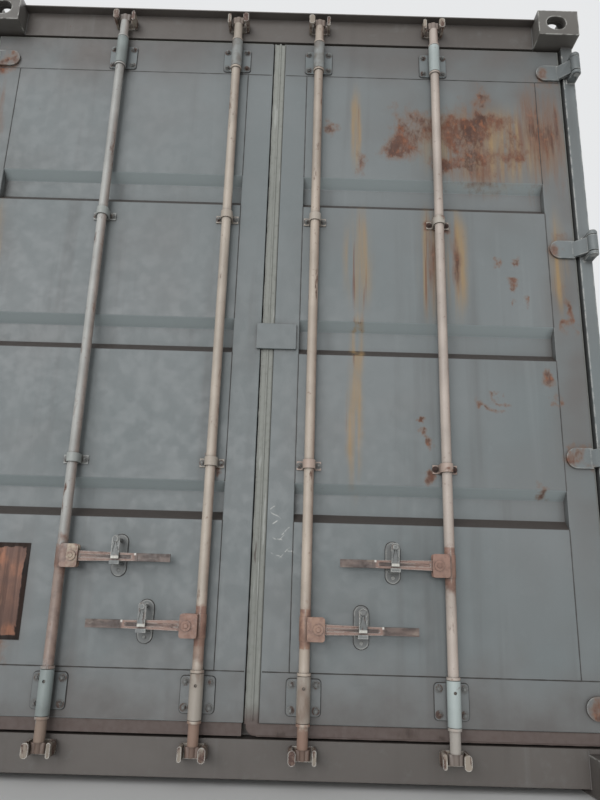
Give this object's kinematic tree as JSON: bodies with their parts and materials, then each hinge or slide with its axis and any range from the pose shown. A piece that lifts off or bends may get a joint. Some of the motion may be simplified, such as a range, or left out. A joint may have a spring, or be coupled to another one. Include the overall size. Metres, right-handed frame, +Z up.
{
  "type": "shipping container",
  "caption": "Long steel box with corrugated walls and roof, cast corners and two tall end doors that swing open, held shut by turning lock rods with lifting handles.",
  "frame": {"origin": "middle of the footprint, on the ground under the corner castings", "axes": "+Z up, +Y towards the closed front wall, the doors are at the -Y end, +X to the right when facing the doors"},
  "size_m": [2.438, 12.192, 2.896],
  "materials": {
    "grey_frame": "worn grey paint with dirt",
    "casting_metal": "worn paint on cast steel",
    "grey_sheet": "worn grey paint",
    "plywood": "oiled plywood",
    "black_coat": "black underside coating",
    "keeper_metal": "worn, rusty",
    "bare_pin": "bare",
    "vent_plastic": "matte",
    "seal_rubber": "dusty",
    "guide_paint": "pale worn paint",
    "rod_metal": "dirty, paint worn to brown",
    "handle_metal": "worn, rusty",
    "bright_catch": "zinc coated",
    "plate_metal": "bare sheet, dull"
  },
  "bodies": {
    "box_frame": {"rear_corner_castings": "casting_metal", "front_corner_castings": "casting_metal", "rear_posts": "grey_frame", "front_posts": "grey_frame", "door_header": "grey_frame", "door_sill": "grey_frame", "front_top_rail": "grey_frame", "front_bottom_rail": "grey_frame", "top_side_rails": "grey_frame", "bottom_side_rails": "grey_frame", "side_walls": "grey_sheet", "front_wall": "grey_sheet", "roof": "grey_sheet", "floor_boards": "plywood", "cross_members": "black_coat", "gooseneck_tunnel": "black_coat", "cam_keepers": "keeper_metal", "hinge_pins": "bare_pin", "vents": "vent_plastic"},
    "left_door": {"left_door_frame": "grey_frame", "left_door_panel": "grey_sheet", "left_door_seal": "seal_rubber", "left_hinge_blades": "grey_frame", "left_rod_guides": "guide_paint", "left_handle_retainers": "keeper_metal", "data_plate": "plate_metal"},
    "right_door": {"right_door_frame": "grey_frame", "right_door_panel": "grey_sheet", "right_door_seal": "seal_rubber", "right_hinge_blades": "grey_frame", "right_rod_guides": "guide_paint", "right_handle_retainers": "keeper_metal", "overlap_plate": "grey_frame"},
    "rod_1": {"lock_rod_1": "rod_metal"},
    "lever_1": {"handle_1": "handle_metal"},
    "hasp_1": {"catch_1": "bright_catch"},
    "rod_2": {"lock_rod_2": "rod_metal"},
    "lever_2": {"handle_2": "handle_metal"},
    "hasp_2": {"catch_2": "bright_catch"},
    "rod_3": {"lock_rod_3": "rod_metal"},
    "lever_3": {"handle_3": "handle_metal"},
    "hasp_3": {"catch_3": "bright_catch"},
    "rod_4": {"lock_rod_4": "rod_metal"},
    "lever_4": {"handle_4": "handle_metal"},
    "hasp_4": {"catch_4": "bright_catch"}
  },
  "joints": [
    {"name": "left_door_swing", "type": "hinge", "parent": "box_frame", "child": "left_door", "pos_m": [-1.199, -6.076, 1.45], "axis": [0, 0, -1], "range_deg": [0, 265]},
    {"name": "right_door_swing", "type": "hinge", "parent": "box_frame", "child": "right_door", "pos_m": [1.199, -6.076, 1.45], "axis": [0, 0, 1], "range_deg": [0, 265]},
    {"name": "rod_1_turn", "type": "hinge", "parent": "left_door", "child": "rod_1", "pos_m": [-0.635, -6.056, 1.467], "axis": [0, 0, 1], "range_deg": [-100, 0]},
    {"name": "lever_1_lift", "type": "hinge", "parent": "rod_1", "child": "lever_1", "pos_m": [-0.594, -6.075, 0.672], "axis": [0, -1, 0], "range_deg": [0, 10]},
    {"name": "hasp_1_swing", "type": "hinge", "parent": "left_door", "child": "hasp_1", "pos_m": [-0.453, -6.0875, 0.727], "axis": [0, -1, 0], "range_deg": [0, 90]},
    {"name": "rod_2_turn", "type": "hinge", "parent": "left_door", "child": "rod_2", "pos_m": [-0.167, -6.056, 1.467], "axis": [0, 0, -1], "range_deg": [-100, 0]},
    {"name": "lever_2_lift", "type": "hinge", "parent": "rod_2", "child": "lever_2", "pos_m": [-0.208, -6.075, 0.466], "axis": [0, 1, 0], "range_deg": [0, 10]},
    {"name": "hasp_2_swing", "type": "hinge", "parent": "left_door", "child": "hasp_2", "pos_m": [-0.349, -6.0875, 0.521], "axis": [0, 1, 0], "range_deg": [0, 90]},
    {"name": "rod_3_turn", "type": "hinge", "parent": "right_door", "child": "rod_3", "pos_m": [0.167, -6.056, 1.467], "axis": [0, 0, 1], "range_deg": [-100, 0]},
    {"name": "lever_3_lift", "type": "hinge", "parent": "rod_3", "child": "lever_3", "pos_m": [0.208, -6.075, 0.466], "axis": [0, -1, 0], "range_deg": [0, 10]},
    {"name": "hasp_3_swing", "type": "hinge", "parent": "right_door", "child": "hasp_3", "pos_m": [0.349, -6.0875, 0.521], "axis": [0, -1, 0], "range_deg": [0, 90]},
    {"name": "rod_4_turn", "type": "hinge", "parent": "right_door", "child": "rod_4", "pos_m": [0.635, -6.056, 1.467], "axis": [0, 0, -1], "range_deg": [-100, 0]},
    {"name": "lever_4_lift", "type": "hinge", "parent": "rod_4", "child": "lever_4", "pos_m": [0.594, -6.075, 0.672], "axis": [0, 1, 0], "range_deg": [0, 10]},
    {"name": "hasp_4_swing", "type": "hinge", "parent": "right_door", "child": "hasp_4", "pos_m": [0.453, -6.0875, 0.727], "axis": [0, 1, 0], "range_deg": [0, 90]}
  ]
}
